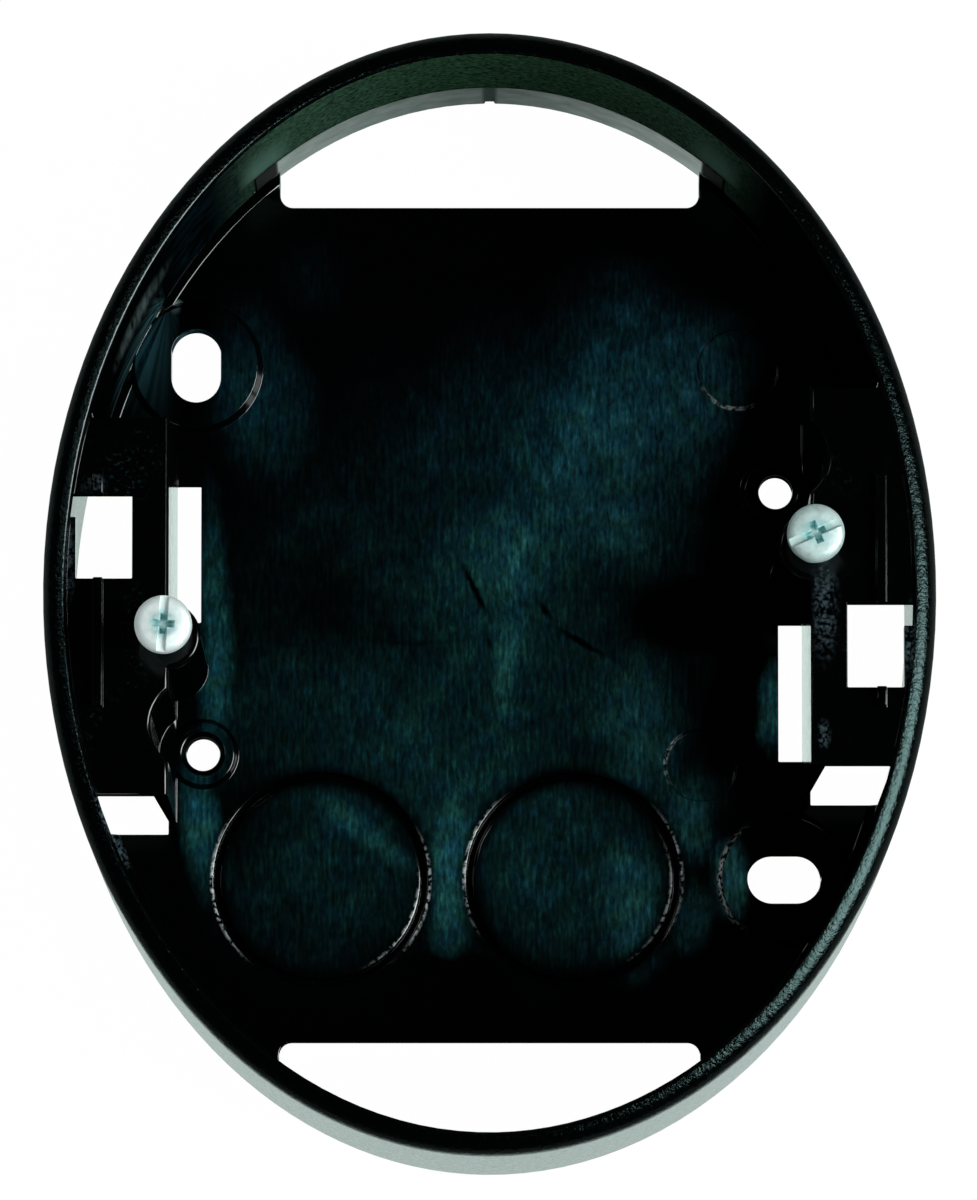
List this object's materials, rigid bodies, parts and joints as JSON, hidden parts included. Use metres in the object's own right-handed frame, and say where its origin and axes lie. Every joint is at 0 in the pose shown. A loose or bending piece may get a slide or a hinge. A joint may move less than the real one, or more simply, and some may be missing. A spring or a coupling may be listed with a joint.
{
  "type": "surface back box",
  "caption": "Oval surface back box moulded in black plastic, with device ledges, snap windows, cable openings, knock-outs and part-driven device screws.",
  "frame": {"origin": "centre of the oval, on the plane of the back that lies against the wall", "axes": "+Z out of the wall through the open front, +Y along the oval's long axis, +X along its short axis"},
  "size_m": [0.083, 0.105, 0.0431],
  "materials": {
    "black_plastic": "moulded black, glossy",
    "zinc_steel": "bright zinc plate"
  },
  "bodies": {
    "root": {"back_box": "black_plastic", "device_screws": "zinc_steel"}
  },
  "joints": []
}
